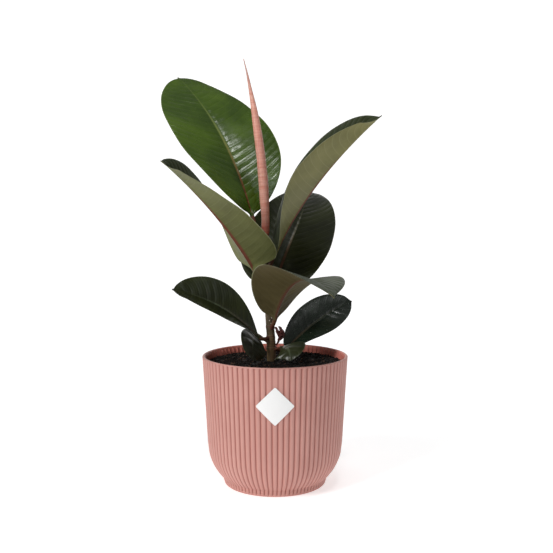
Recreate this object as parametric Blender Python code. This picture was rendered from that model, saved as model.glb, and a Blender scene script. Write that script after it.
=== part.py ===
"""Potted rubber plant: a young Ficus elastica in a fluted pink pot, at real size.

Metres, +Z up. The origin is the middle of the pot's flat underside and the plant's front looks along -Y.
Every separate piece is one closed body: the pot, its soil, the stem, nine leaves with their stalks,
the growing sheath, one dried sheath and the blank sticker on the pot.
"""
import math
import random
from collections import namedtuple

import bmesh
import bpy
from mathutils import Vector

MM = 0.001
GAP = 0.3 * MM                  # clearance between pieces that touch

# pot
POT_HEIGHT = 123.8 * MM
RIM_RADIUS = 70.0 * MM          # a 14 cm pot
WALL_FOOT_RADIUS = 65.2 * MM    # where the straight wall meets the rounded shoulder
SHOULDER_TOP = 41.0 * MM
SHOULDER_ARC = 48.0 * MM
FOOT_HEIGHT = 6.5 * MM
FOOT_RADIUS = 49.15 * MM
FOOT_BEVEL = 1.0 * MM
WALL = 2.8 * MM
FLOOR = 3.2 * MM
LIP_BAND = 1.6 * MM             # plain band between the flute ends and the rim
RIBS = 81
RIB_DEPTH = 0.9 * MM
PANEL_RIBS = 3                  # ribs left out of the smooth front panel

# sticker: a small square set on its corner
STICKER_SIDE = 25.0 * MM
STICKER_HEIGHT = 89.0 * MM
STICKER_THICKNESS = 0.25 * MM
STICKER_STEPS = 6

# soil
SOIL_LEVEL = 117.2 * MM
SOIL_LUMP = 0.8 * MM
SOIL_COLUMNS = 36
STEM_SOCKET_DEPTH = 24.8 * MM

# stem: height, and how far its middle leans from the pot's axis
STEM_BACK = 9.0 * MM
STEM_LEAN = ((93.0, -3.2), (115.0, -3.4), (142.0, -4.2), (157.0, -5.4), (205.0, -7.8), (237.0, -9.2))
STEM_FOOT_RADIUS = 4.8 * MM
STEM_TOP_RADIUS = 3.1 * MM
STEM_TOP = 236.5 * MM
NODE_SWELL = 0.35 * MM          # the ring where each leaf grows

# leaves
LEAF_THICKNESS = 0.9 * MM
THINNING = (0.85, 0.6)          # from this share of the blade it thins to this share at the tip
STALK_RADIUS = 2.1 * MM
STALK_BLEND = 0.035             # share of the blade over which the round stalk turns flat
STALK_PULL = 0.55               # how straight the stalk leaves the stem
RIB_HEIGHT = 1.6 * MM           # midrib below the blade's foot, fading out along the blade
RIB_END = 0.8
TIP_HALF_WIDTH = 0.9 * MM
TIP_FLAT = 0.10                 # share of the blade over which the V opens flat
OVAL_END = 0.985                # where the oval closes and the small point begins
POINT_WIDTH = 0.02
BLADE_STATIONS = 16
STALK_STATIONS = 5
HALF_COLUMNS = 4                # strips from midrib to margin
PATH_STEPS = 160

# One row per leaf, lowest first, lengths in millimetres and angles in degrees.
# joint: height of the stalk's joint on the stem. foot: where the blade begins.
# heading: compass angle of the blade (0 is +X, 90 is +Y), turn: its change by the tip.
# rise and droop: climb angle at the foot and its change. roll and twist: the same about the midrib.
# fold and fold_end: how far each half is lifted into a V. cup: extra lift at the margin.
# widest: where the blade is broadest, as a share of its length.
# base and end: how slim it is before and after that, from 0.5, nearly round, to 1.0, a taper.
Leaf = namedtuple("Leaf", "joint foot heading turn rise droop length width roll twist fold fold_end cup "
                          "widest base end")

LEAVES = {
    "leaf_soil_right": Leaf(127, (6, 1, 131), -47, -48, 18, -85, 27, 35, -33, 6, -14, 7, -10, 0.46, 0.65, 0.70),
    "leaf_low_right": Leaf(129, (10, 13, 126), 21, 21, 45, -34, 95, 45, -44, -22, 33, 22, 10, 0.46, 0.75, 0.70),
    "leaf_soil_left": Leaf(134, (-18, 9, 142), 253, 30, -4, -58, 39, 36, 48, 5, 16, -4, -5, 0.59, 0.60, 0.50),
    "leaf_low_left": Leaf(139, (-15, -3, 141), 202, 13, 47, -35, 104, 49, 53, -9, 33, 16, -1, 0.56, 0.95, 0.70),
    "leaf_front": Leaf(149, (0, 1, 158), -68, 2, 59, -89, 143, 79, -1, 19, 34, -3, -4, 0.51, 0.45, 0.95),
    "leaf_back_right": Leaf(170, (-2, 17, 184), 46, 45, 66, -51, 163, 92, -22, 14, 19, 13, -1, 0.28, 0.80, 0.65),
    "leaf_left": Leaf(182, (-20, 1, 206), 216, 38, 56, -41, 169, 73, -9, 68, 21, 49, -9, 0.17, 0.95, 0.65),
    "leaf_right": Leaf(206, (0, 0, 222), -20, -42, 65, -43, 178, 94, -31, -4, 13, 62, -10, 0.37, 0.95, 0.90),
    "leaf_back_left": Leaf(223, (-22, 12, 257), 137, -10, 70, -40, 198, 110, 11, 2, 23, -6, -4, 0.43, 0.88, 0.50),
}

# growing sheath: height, lean and radius in millimetres
SHEATH_FRONT = 6.0 * MM
SHEATH_SHIFT = (237.0, 30.0)    # height where it leaves the stem's line, and over how far
SHEATH = ((237.0, -9.3, 2.6), (241.0, -9.3, 3.7), (258.0, -9.3, 3.9), (270.0, -10.1, 4.4), (287.0, -11.0, 4.7),
          (303.0, -12.4, 4.5), (320.0, -14.2, 4.3), (339.0, -16.8, 4.0), (358.0, -19.7, 3.1), (375.0, -22.9, 1.9),
          (393.0, -26.6, 0.9), (406.0, -29.8, 0.4))

# dried sheath, a small curled husk on the stem's right side: height, across, back and radius in millimetres
HUSK = ((132.0, 1.0, 6.4, 0.8), (135.5, 2.8, 4.6, 1.0), (139.0, 4.0, 3.0, 1.6), (142.5, 5.0, 2.0, 3.2),
        (146.5, 5.4, 1.5, 3.6), (149.5, 4.2, 1.0, 2.0), (151.5, 2.4, 0.8, 1.0), (152.3, 1.0, 0.6, 0.6))
HUSK_OVAL = 0.12


def make_material(name, colour, roughness):
    material = bpy.data.materials.new(name)
    material.use_nodes = True
    shader = material.node_tree.nodes["Principled BSDF"]
    shader.inputs["Base Color"].default_value = (*colour, 1.0)
    shader.inputs["Roughness"].default_value = roughness
    shader.inputs["Metallic"].default_value = 0.0
    return material


def mix(a, b, t):
    return a + (b - a) * t


def smooth(t):
    t = min(max(t, 0.0), 1.0)
    return t * t * (3.0 - 2.0 * t)


def lerp_table(rows, x, column):
    """Read a column of a sorted table at x, its first column."""
    if x <= rows[0][0]:
        return rows[0][column]
    for low, high in zip(rows, rows[1:]):
        if x <= high[0]:
            return mix(low[column], high[column], (x - low[0]) / (high[0] - low[0]))
    return rows[-1][column]


def skin_rings(name, rings, material, sharp_angle=40.0):
    """One closed body through a list of rings with the same number of points, with flat ends."""
    model = bmesh.new()
    rows = [[model.verts.new(point) for point in ring] for ring in rings]
    count = len(rows[0])
    for low, high in zip(rows, rows[1:]):
        for i in range(count):
            j = (i + 1) % count
            model.faces.new((low[i], low[j], high[j], high[i]))
    model.faces.new(rows[0][::-1])
    model.faces.new(rows[-1])
    bmesh.ops.triangulate(model, faces=[face for face in model.faces if len(face.verts) > 4])
    bmesh.ops.recalc_face_normals(model, faces=model.faces)
    if model.calc_volume(signed=True) < 0.0:
        bmesh.ops.reverse_faces(model, faces=model.faces)
    mesh = bpy.data.meshes.new(name)
    model.to_mesh(mesh)
    model.free()
    mesh.shade_smooth()
    mesh.set_sharp_from_angle(angle=math.radians(sharp_angle))
    mesh.materials.append(material)
    body = bpy.data.objects.new(name, mesh)
    bpy.context.scene.collection.objects.link(body)
    return body


# ---------------------------------------------------------------- pot

def wall_radius(height):
    """Outer radius of the pot at the rib crests."""
    if height >= SHOULDER_TOP:
        climb = (height - SHOULDER_TOP) / (POT_HEIGHT - SHOULDER_TOP)
        return mix(WALL_FOOT_RADIUS, RIM_RADIUS, climb)
    if height >= FOOT_HEIGHT:
        arc_middle = WALL_FOOT_RADIUS - SHOULDER_ARC
        return arc_middle + math.sqrt(SHOULDER_ARC ** 2 - (SHOULDER_TOP - height) ** 2)
    shoulder_end = wall_radius(FOOT_HEIGHT)
    return mix(FOOT_RADIUS, shoulder_end, smooth(height / FOOT_HEIGHT))


def inner_radius(height):
    """Inner radius of the pot's wall."""
    if height >= SHOULDER_TOP:
        return wall_radius(height) - WALL
    arc_middle = WALL_FOOT_RADIUS - SHOULDER_ARC
    return arc_middle + math.sqrt((SHOULDER_ARC - WALL) ** 2 - (SHOULDER_TOP - height) ** 2)


def in_front_panel(angle):
    """True on the smooth strip at the front, above the sticker's middle."""
    half_panel = math.pi * PANEL_RIBS / RIBS
    from_front = (angle + math.pi / 2 + math.pi) % (2 * math.pi) - math.pi
    return abs(from_front) < half_panel * 1.01


def fluted_ring(height, depth):
    """A ring with a crest and a groove for every rib."""
    ring = []
    for i in range(2 * RIBS):
        angle = -math.pi / 2 + math.pi * i / RIBS
        groove = i % 2 == 1 and not (in_front_panel(angle) and height > STICKER_HEIGHT)
        radius = wall_radius(height) - (depth if groove else 0.0)
        ring.append((radius * math.cos(angle), radius * math.sin(angle), height))
    return ring


def plain_ring(radius, height, count=2 * RIBS, middle=(0.0, 0.0)):
    points = []
    for i in range(count):
        angle = -math.pi / 2 + 2 * math.pi * i / count
        points.append((middle[0] + radius * math.cos(angle), middle[1] + radius * math.sin(angle), height))
    return points


def build_pot(material):
    flute_top = POT_HEIGHT - LIP_BAND
    rings = [plain_ring(FOOT_RADIUS - FOOT_BEVEL, 0.0)]
    rings.append(fluted_ring(FOOT_BEVEL, RIB_DEPTH * 0.3))
    for height in (FOOT_HEIGHT, 11 * MM, 17 * MM, 27 * MM, SHOULDER_TOP):
        rings.append(fluted_ring(height, RIB_DEPTH))
    rings.append(fluted_ring(STICKER_HEIGHT - 1 * MM, RIB_DEPTH))
    rings.append(fluted_ring(STICKER_HEIGHT + 1 * MM, RIB_DEPTH))
    rings.append(fluted_ring(flute_top, RIB_DEPTH))
    rings.append(plain_ring(RIM_RADIUS - 0.2 * MM, POT_HEIGHT - 0.5 * MM))
    rings.append(plain_ring(RIM_RADIUS - 1.1 * MM, POT_HEIGHT))
    rings.append(plain_ring(inner_radius(flute_top) + 0.4 * MM, POT_HEIGHT - 0.3 * MM))
    for height in (flute_top, SHOULDER_TOP, 20 * MM, 8 * MM, FLOOR):
        rings.append(plain_ring(inner_radius(height), height))
    return skin_rings("pot", rings, material)


def build_sticker(material):
    """A thin square sheet on its corner, bent to the wall."""
    half = STICKER_SIDE / 2
    steps = STICKER_STEPS
    model = bmesh.new()
    sides = []
    for lift in (GAP, GAP + STICKER_THICKNESS):
        grid = []
        for row in range(steps + 1):
            line = []
            for column in range(steps + 1):
                across = mix(-half, half, column / steps)
                along = mix(-half, half, row / steps)
                x = (across - along) / math.sqrt(2)
                z = STICKER_HEIGHT + (across + along) / math.sqrt(2)
                radius = wall_radius(z) + lift
                angle = -math.pi / 2 + x / radius
                line.append(model.verts.new((radius * math.cos(angle), radius * math.sin(angle), z)))
            grid.append(line)
        sides.append(grid)
    back, front = sides
    for row in range(steps):
        for column in range(steps):
            for grid in sides:
                model.faces.new((grid[row][column], grid[row][column + 1],
                                 grid[row + 1][column + 1], grid[row + 1][column]))
    for i in range(steps):
        for a, b in (((0, i), (0, i + 1)), ((steps, i), (steps, i + 1)),
                     ((i, 0), (i + 1, 0)), ((i, steps), (i + 1, steps))):
            model.faces.new((back[a[0]][a[1]], back[b[0]][b[1]], front[b[0]][b[1]], front[a[0]][a[1]]))
    bmesh.ops.recalc_face_normals(model, faces=model.faces)
    mesh = bpy.data.meshes.new("blank_sticker")
    model.to_mesh(mesh)
    model.free()
    mesh.materials.append(material)
    body = bpy.data.objects.new("blank_sticker", mesh)
    bpy.context.scene.collection.objects.link(body)
    return body


# ---------------------------------------------------------------- stem and soil

def stem_middle(height):
    lean = lerp_table(STEM_LEAN, height / MM, 1) * MM
    return Vector((lean, STEM_BACK, height))


def stem_radius(height):
    foot = STEM_LEAN[0][0] * MM
    climb = (height - foot) / (STEM_TOP - foot)
    radius = mix(STEM_FOOT_RADIUS, STEM_TOP_RADIUS, climb)
    for leaf in LEAVES.values():
        away = abs(height / MM - leaf.joint) / 2.5
        radius += NODE_SWELL * max(0.0, 1.0 - away)
    return radius


def build_stem(material):
    heights = {STEM_LEAN[0][0], 104.0, 115.0, STEM_TOP / MM - 1.0}
    for leaf in LEAVES.values():
        heights.update((leaf.joint - 2.5, leaf.joint, leaf.joint + 2.5))
    rings = []
    last = -1.0
    for height in sorted(heights):
        if height - last < 1.0:
            continue
        last = height
        middle = stem_middle(height * MM)
        rings.append(plain_ring(stem_radius(height * MM), height * MM, 12, middle))
    rings.append(plain_ring(STEM_TOP_RADIUS * 0.6, STEM_TOP, 12, stem_middle(STEM_TOP)))
    return skin_rings("stem", rings, material)


def build_soil(material):
    """The soil that fills the pot, with a socket for the buried foot of the stem."""
    rng = random.Random(14)
    side_heights = (FLOOR + GAP, 8 * MM, 20 * MM, SHOULDER_TOP, SOIL_LEVEL - 1.5 * MM)
    rings = []
    for height in side_heights:
        radius = inner_radius(height) * math.cos(math.pi / (2 * RIBS)) - 1.5 * GAP
        rings.append(plain_ring(radius, height, SOIL_COLUMNS))
    edge = inner_radius(SOIL_LEVEL) - 3 * MM
    socket_top = stem_middle(SOIL_LEVEL)
    socket_radius = STEM_FOOT_RADIUS + 2 * GAP
    for share in (1.0, 0.82, 0.62, 0.42, 0.24):
        radius = mix(socket_radius, edge, share)
        middle = socket_top * (1.0 - share)
        ring = plain_ring(radius, SOIL_LEVEL, SOIL_COLUMNS, middle)
        rings.append([(x, y, z + rng.uniform(-1.0, 0.6) * SOIL_LUMP) for x, y, z in ring])
    rings.append(plain_ring(socket_radius, SOIL_LEVEL, SOIL_COLUMNS, socket_top))
    socket_foot = stem_middle(SOIL_LEVEL - STEM_SOCKET_DEPTH)
    rings.append(plain_ring(socket_radius, SOIL_LEVEL - STEM_SOCKET_DEPTH - GAP, SOIL_COLUMNS, socket_foot))
    return skin_rings("potting_soil", rings, material)


# ---------------------------------------------------------------- leaves

def direction(heading, climb):
    return Vector((math.cos(climb) * math.cos(heading), math.cos(climb) * math.sin(heading), math.sin(climb)))


def blade_half_width(leaf, along):
    """Half width at a share of the blade: an oval with its own broadest place, and a small point."""
    power = math.log(0.5) / math.log(leaf.widest)
    oval = max(math.sin(math.pi * min(along / OVAL_END, 1.0) ** power), 0.0)
    body = oval ** (leaf.base if along < leaf.widest else leaf.end)
    if along > 0.9:
        body = max(body, POINT_WIDTH * min(2 * (1.0 - along) / (1.0 - OVAL_END), 1.0))
    return max(body * leaf.width * MM / 2, TIP_HALF_WIDTH)


def blade_frame(leaf, along, point):
    """Place, direction, side and upper side of the midrib at a share of the blade."""
    heading = math.radians(leaf.heading + leaf.turn * along)
    climb = math.radians(leaf.rise + leaf.droop * along)
    roll = math.radians(leaf.roll + leaf.twist * along)
    forward = direction(heading, climb)
    side = Vector((math.sin(heading), -math.cos(heading), 0.0))
    upper = side.cross(forward)
    turned_side = side * math.cos(roll) + upper * math.sin(roll)
    turned_upper = upper * math.cos(roll) - side * math.sin(roll)
    return point, forward, turned_side, turned_upper


def blade_path(leaf, shares):
    """Frames along the midrib at the given shares of the blade, found by walking it in small steps."""
    step = leaf.length * MM / PATH_STEPS
    walked = [Vector(leaf.foot) * MM]
    for i in range(PATH_STEPS):
        forward = blade_frame(leaf, (i + 0.5) / PATH_STEPS, walked[-1])[1]
        walked.append(walked[-1] + forward * step)
    frames = []
    for share in shares:
        i = min(int(share * PATH_STEPS), PATH_STEPS - 1)
        point = walked[i].lerp(walked[i + 1], share * PATH_STEPS - i)
        frames.append(blade_frame(leaf, share, point))
    return frames


def blade_shares(stations):
    """Shares of the blade for its rings, closer together at the foot and the tip."""
    shares = []
    for i in range(stations + 1):
        even = i / stations
        shares.append(mix(even, 0.5 - 0.5 * math.cos(math.pi * even), 0.6))
    return shares


def cross_section(leaf, along):
    """Points of one half, from midrib to margin, as (across, up, tilt) for a half width of 1."""
    open_out = min((1.0 - along) / TIP_FLAT, 1.0)
    fold = math.radians(mix(leaf.fold, leaf.fold_end, along)) * open_out
    cup = math.radians(leaf.cup) * open_out
    points = [(0.0, 0.0, fold)]
    across = up = 0.0
    for i in range(HALF_COLUMNS):
        tilt = fold + cup * (i + 0.5) / HALF_COLUMNS
        across += math.cos(tilt) / HALF_COLUMNS
        up += math.sin(tilt) / HALF_COLUMNS
        points.append((across, up, fold + cup * (i + 1) / HALF_COLUMNS))
    return points


def blade_ring(leaf, along, frame):
    """One ring round the blade: over the upper side and back under the lower one."""
    point, forward, side, upper = frame
    half = blade_half_width(leaf, along)
    section = cross_section(leaf, along)
    thinned = max(along - THINNING[0], 0.0) / (1.0 - THINNING[0])
    thickness = LEAF_THICKNESS * mix(1.0, THINNING[1], thinned)
    rib = mix(RIB_HEIGHT, 0.0, min(along / RIB_END, 1.0))

    def place(hand, column, below):
        across, up, tilt = section[column]
        surface = point + side * (hand * across * half) + upper * (up * half)
        normal = upper
        if column > 0:
            normal = upper * math.cos(tilt) - side * (hand * math.sin(tilt))
        return surface - normal * below

    margin = HALF_COLUMNS
    top = [place(-1, column, thickness / 2 if column == margin else 0.0) for column in range(margin, 0, -1)]
    top += [place(1, column, thickness / 2 if column == margin else 0.0) for column in range(margin + 1)]
    bottom = [place(1, column, thickness) for column in range(margin - 1, 0, -1)]
    bottom.append(place(1, 0, thickness + rib))
    bottom += [place(-1, column, thickness) for column in range(1, margin)]
    return top + bottom


def stalk_ring(frame, radius):
    """A round ring with the same number of points as a blade ring."""
    point, forward, side, upper = frame
    count = 4 * HALF_COLUMNS
    ring = []
    for i in range(count):
        angle = math.pi - 2 * math.pi * i / count
        ring.append(point + side * (radius * math.cos(angle)) + upper * (radius * math.sin(angle)))
    return ring


def stalk_frames(leaf):
    """Frames from the stem's surface to the blade's foot, on a smooth curve."""
    foot_point, foot_forward, foot_side, foot_upper = blade_path(leaf, (0.0,))[0]
    joint = leaf.joint * MM
    middle = stem_middle(joint)
    outward = Vector((foot_point.x - middle.x, foot_point.y - middle.y, 0.0)).normalized()
    start = middle + outward * (stem_radius(joint) + GAP * 1.4)
    reach = (foot_point - start).length
    pull = outward * (STALK_PULL * reach)
    arrive = foot_forward * reach
    frames = []
    for i in range(STALK_STATIONS):
        t = i / STALK_STATIONS
        point = start * (2 * t ** 3 - 3 * t ** 2 + 1) + pull * (t ** 3 - 2 * t ** 2 + t)
        point = point + foot_point * (3 * t ** 2 - 2 * t ** 3) + arrive * (t ** 3 - t ** 2)
        forward = (foot_point - start) * (6 * t - 6 * t ** 2) + pull * (3 * t ** 2 - 4 * t + 1)
        forward = (forward + arrive * (3 * t ** 2 - 2 * t)).normalized()
        side = (foot_side - forward * foot_side.dot(forward)).normalized()
        frames.append((point, forward, side, side.cross(forward)))
    return frames


def build_leaf(name, leaf, material):
    """A round stalk that turns into the flat blade, as one closed body."""
    radius = STALK_RADIUS * min(1.0, 0.45 + leaf.length / 250.0)
    rings = [stalk_ring(frame, radius) for frame in stalk_frames(leaf)]
    shares = blade_shares(BLADE_STATIONS)
    for along, frame in zip(shares, blade_path(leaf, shares)):
        flat_ring = blade_ring(leaf, max(along, 0.01), frame)
        flatness = smooth(along / STALK_BLEND)
        rings.append([r.lerp(f, flatness) for r, f in zip(stalk_ring(frame, radius), flat_ring)])
    return skin_rings(name, rings, material, 60.0)


# ---------------------------------------------------------------- sheaths

def build_sheath(material):
    rings = []
    for height, lean, radius in SHEATH:
        back = mix(STEM_BACK, SHEATH_FRONT, smooth((height - SHEATH_SHIFT[0]) / SHEATH_SHIFT[1]))
        rings.append(plain_ring(radius * MM, height * MM, 12, (lean * MM, back)))
    return skin_rings("growing_sheath", rings, material, 60.0)


def build_husk(material):
    rings = []
    for i, (height, across, back, radius) in enumerate(HUSK):
        centre = Vector((across, back, height)) * MM
        before = HUSK[max(i - 1, 0)]
        after = HUSK[min(i + 1, len(HUSK) - 1)]
        forward = Vector((after[1] - before[1], after[2] - before[2], after[0] - before[0])).normalized()
        side = Vector((0.0, 1.0, 0.0))
        side = (side - forward * side.dot(forward)).normalized()
        upper = side.cross(forward)
        ring = []
        for k in range(8):
            angle = 2 * math.pi * k / 8
            swell = 1.0 + HUSK_OVAL * math.cos(2 * angle)
            offset = side * math.cos(angle) + upper * math.sin(angle)
            ring.append(centre + offset * (radius * swell * MM))
        rings.append(ring)
    return skin_rings("dried_sheath", rings, material, 60.0)


def main():
    for item in list(bpy.data.objects):
        bpy.data.objects.remove(item, do_unlink=True)
    build_pot(make_material("pot_pink", (0.56, 0.29, 0.23), 0.55))
    build_sticker(make_material("sticker_white", (0.85, 0.85, 0.84), 0.6))
    build_soil(make_material("soil_dark", (0.03, 0.022, 0.017), 0.9))
    build_stem(make_material("stem_bark", (0.16, 0.10, 0.05), 0.6))
    for name, leaf in LEAVES.items():
        build_leaf(name, leaf, make_material(name + "_green", (0.03, 0.055, 0.02), 0.35))
    build_sheath(make_material("sheath_pink", (0.70, 0.29, 0.22), 0.45))
    build_husk(make_material("husk_red", (0.10, 0.02, 0.02), 0.7))


main()
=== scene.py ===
"""Looks of the potted rubber plant: fine pot, soil crumbs, bark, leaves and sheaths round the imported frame.

Metres, +Z up. The pot stands on z = 0 and the plant's front looks along -Y.
"""
import math
import random
from collections import namedtuple

import bmesh
import bpy
from mathutils import Matrix, Vector, noise


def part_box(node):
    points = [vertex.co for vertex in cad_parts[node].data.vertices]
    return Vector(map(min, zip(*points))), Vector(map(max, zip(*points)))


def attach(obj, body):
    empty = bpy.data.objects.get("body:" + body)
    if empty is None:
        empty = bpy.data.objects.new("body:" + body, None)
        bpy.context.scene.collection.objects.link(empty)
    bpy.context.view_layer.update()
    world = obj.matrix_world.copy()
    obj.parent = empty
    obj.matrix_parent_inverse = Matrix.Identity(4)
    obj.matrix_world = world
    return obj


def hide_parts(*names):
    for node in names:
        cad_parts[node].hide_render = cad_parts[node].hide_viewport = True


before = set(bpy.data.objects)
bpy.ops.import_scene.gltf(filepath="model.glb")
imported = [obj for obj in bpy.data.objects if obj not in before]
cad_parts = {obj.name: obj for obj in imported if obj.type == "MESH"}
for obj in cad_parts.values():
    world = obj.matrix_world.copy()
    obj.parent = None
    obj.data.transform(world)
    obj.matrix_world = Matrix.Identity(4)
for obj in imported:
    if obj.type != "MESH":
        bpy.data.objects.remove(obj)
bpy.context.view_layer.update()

MM = 0.001

# ---------------------------------------------------------------- camera

CAMERA_PLACE = (0.0, -0.7652, 0.2566)
CAMERA_PITCH = 4.27             # degrees below level
CAMERA_TURN = 0.108             # degrees to the right
CAMERA_LENS = 52.08             # on a 36 mm sensor


def set_camera():
    """View of the front, from slightly above the plant's middle."""
    lens = bpy.data.cameras.new("camera")
    lens.lens = CAMERA_LENS
    lens.sensor_width = 36.0
    camera = bpy.data.objects.new("camera", lens)
    bpy.context.scene.collection.objects.link(camera)
    camera.location = CAMERA_PLACE
    camera.rotation_euler = (math.radians(90.0 - CAMERA_PITCH), 0.0, math.radians(-CAMERA_TURN))
    bpy.context.scene.camera = camera


# ---------------------------------------------------------------- shader arithmetic

class Wire:
    """An output socket that takes part in ordinary arithmetic."""

    def __init__(self, finish, socket):
        self.finish = finish
        self.socket = socket

    def calculate(self, operation, *values):
        return self.finish.node("ShaderNodeMath", {"operation": operation}, dict(enumerate(values)))

    def __add__(self, other):
        return self.calculate("ADD", self, other)

    def __sub__(self, other):
        return self.calculate("SUBTRACT", self, other)

    def __rsub__(self, other):
        return self.calculate("SUBTRACT", other, self)

    def __mul__(self, other):
        return self.calculate("MULTIPLY", self, other)

    def __truediv__(self, other):
        return self.calculate("DIVIDE", self, other)

    __radd__ = __add__
    __rmul__ = __mul__

    def __abs__(self):
        return self.calculate("ABSOLUTE", self)

    def sine(self):
        return self.calculate("SINE", self)

    def over(self, low, high):
        """0 below low, 1 above high and a soft step between; low may be the larger."""
        settings = {"interpolation_type": "SMOOTHSTEP"}
        sockets = {"Value": self, "From Min": low, "From Max": high}
        return self.finish.node("ShaderNodeMapRange", settings, sockets)


class Finish:
    """One material, built from named nodes."""

    def __init__(self, name):
        self.material = bpy.data.materials.new(name)
        self.material.use_nodes = True
        self.tree = self.material.node_tree
        self.shader = self.tree.nodes["Principled BSDF"]

    def put(self, socket, value):
        if isinstance(value, Wire):
            self.tree.links.new(value.socket, socket)
        elif isinstance(value, tuple) and len(value) == 3 and socket.type == "RGBA":
            socket.default_value = (*value, 1.0)
        else:
            socket.default_value = value

    def node(self, kind, settings=None, sockets=None, output=0):
        """Any node: its settings first, then the values or wires of its sockets."""
        made = self.tree.nodes.new(kind)
        for key, value in (settings or {}).items():
            setattr(made, key, value)
        for key, value in (sockets or {}).items():
            self.put(made.inputs[key], value)
        return Wire(self, made.outputs[output])

    def attribute(self, name):
        return self.node("ShaderNodeAttribute", {"attribute_name": name}, output="Fac")

    def place(self, stretch=(1.0, 1.0, 1.0)):
        """The point on the object, in metres, stretched along each axis."""
        spot = self.node("ShaderNodeTexCoord", output="Object")
        settings = {"operation": "MULTIPLY"}
        return self.node("ShaderNodeVectorMath", settings, {0: spot, 1: stretch})

    def noise(self, scale, detail=3.0, roughness=0.5, stretch=(1.0, 1.0, 1.0)):
        sockets = {"Vector": self.place(stretch), "Scale": scale, "Detail": detail, "Roughness": roughness}
        return self.node("ShaderNodeTexNoise", None, sockets)

    def cells(self, scale, stretch=(1.0, 1.0, 1.0)):
        """Distance from scattered points, about 0 at each point."""
        return self.node("ShaderNodeTexVoronoi", None, {"Vector": self.place(stretch), "Scale": scale})

    def colour(self, factor, a, b):
        """Colour a where factor is 0 and b where it is 1."""
        settings = {"data_type": "RGBA", "clamp_factor": True}
        return self.node("ShaderNodeMix", settings, {0: factor, 6: a, 7: b}, output=2)

    def bump(self, height, depth, strength):
        """Raise height by depth metres."""
        return self.node("ShaderNodeBump", None, {"Height": height, "Distance": depth, "Strength": strength})

    def surface(self, **sockets):
        """Fill the main shader's sockets, named in lower case, and give the finished material."""
        for key, value in sockets.items():
            self.put(self.shader.inputs[key.replace("_", " ").title().replace("Ior", "IOR")], value)
        return self.material


# ---------------------------------------------------------------- mesh helpers

def mix(a, b, t):
    return a + (b - a) * t


def smooth(t):
    t = min(max(t, 0.0), 1.0)
    return t * t * (3.0 - 2.0 * t)


def curve_table(rows, x, column):
    """Read a column of a sorted table at x, its first column, on a smooth curve."""
    if x <= rows[0][0]:
        return rows[0][column]
    if x >= rows[-1][0]:
        return rows[-1][column]
    i = next(k for k in range(1, len(rows)) if x <= rows[k][0])
    before = rows[max(i - 2, 0)]
    low, high = rows[i - 1], rows[i]
    after = rows[min(i + 1, len(rows) - 1)]
    span = high[0] - low[0]
    t = (x - low[0]) / span
    slope_low = (high[column] - before[column]) / (high[0] - before[0]) * span
    slope_high = (after[column] - low[column]) / (after[0] - low[0]) * span
    return ((2 * t ** 3 - 3 * t ** 2 + 1) * low[column] + (t ** 3 - 2 * t ** 2 + t) * slope_low
            + (3 * t ** 2 - 2 * t ** 3) * high[column] + (t ** 3 - t ** 2) * slope_high)


def make_piece(name, mesh, nodes, smooth_angle=None):
    """Link a finished mesh as a piece that rides on the plant and stands for its CAD nodes."""
    mesh.shade_smooth()
    if smooth_angle is not None:
        mesh.set_sharp_from_angle(angle=math.radians(smooth_angle))
    piece = bpy.data.objects.new(name, mesh)
    bpy.context.scene.collection.objects.link(piece)
    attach(piece, "root")
    if nodes:
        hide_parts(*nodes)
    return piece


def tube_mesh(name, rings, attributes=None):
    """A closed skin through rings of equal length, with fans over both ends."""
    count = len(rings[0])
    points = [point for ring in rings for point in ring]
    faces = []
    for row in range(len(rings) - 1):
        for i in range(count):
            j = (i + 1) % count
            a = row * count
            faces.append((a + i, a + j, a + count + j, a + count + i))
    first = sum((Vector(p) for p in rings[0]), Vector()) / count
    last = sum((Vector(p) for p in rings[-1]), Vector()) / count
    points += [first, last]
    end = (len(rings) - 1) * count
    for i in range(count):
        j = (i + 1) % count
        faces.append((j, i, len(points) - 2))
        faces.append((end + i, end + j, len(points) - 1))
    mesh = bpy.data.meshes.new(name)
    mesh.from_pydata([tuple(p) for p in points], [], faces)
    for key, values in (attributes or {}).items():
        layer = mesh.attributes.new(key, "FLOAT", "POINT")
        layer.data.foreach_set("value", list(values) + [values[0], values[-1]])
    turn_outward(mesh)
    return mesh


def turn_outward(mesh):
    """Make every face of a closed mesh look outward."""
    model = bmesh.new()
    model.from_mesh(mesh)
    bmesh.ops.recalc_face_normals(model, faces=model.faces)
    if model.calc_volume(signed=True) < 0.0:
        bmesh.ops.reverse_faces(model, faces=model.faces)
    model.to_mesh(mesh)
    model.free()


# ---------------------------------------------------------------- pot

POT_LOW, POT_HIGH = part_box("pot")
POT_HEIGHT = POT_HIGH.z
RIM_RADIUS = 70.0 * MM
WALL_FOOT_RADIUS = 65.2 * MM
SHOULDER_TOP = 41.0 * MM
SHOULDER_ARC = 48.0 * MM
FOOT_HEIGHT = 6.5 * MM
FOOT_RADIUS = 49.15 * MM
WALL = 2.8 * MM
FLOOR = 3.2 * MM
LIP_BAND = 1.1 * MM
RIBS = 81
RIB_DEPTH = 1.25 * MM
RIB_STEPS = 10                  # columns from groove to groove
PANEL_RIBS = 3
GROOVE_POINT = 0.985            # below 1, so that a rib keeps a little height in the groove's middle
PANEL_EDGE = 0.45               # how much narrower the front panel is than its missing ribs, in ribs
LIP_DROP = 1.1 * MM             # height of the rounded rim
INNER_FLUTE_END = 105.0 * MM    # the inner flutes fade out below this
STICKER_SIDE = 25.0 * MM
STICKER_HEIGHT = (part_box("blank_sticker")[0].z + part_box("blank_sticker")[1].z) / 2
STICKER_LIFT = 0.3 * MM
STICKER_THICKNESS = 0.25 * MM


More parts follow.
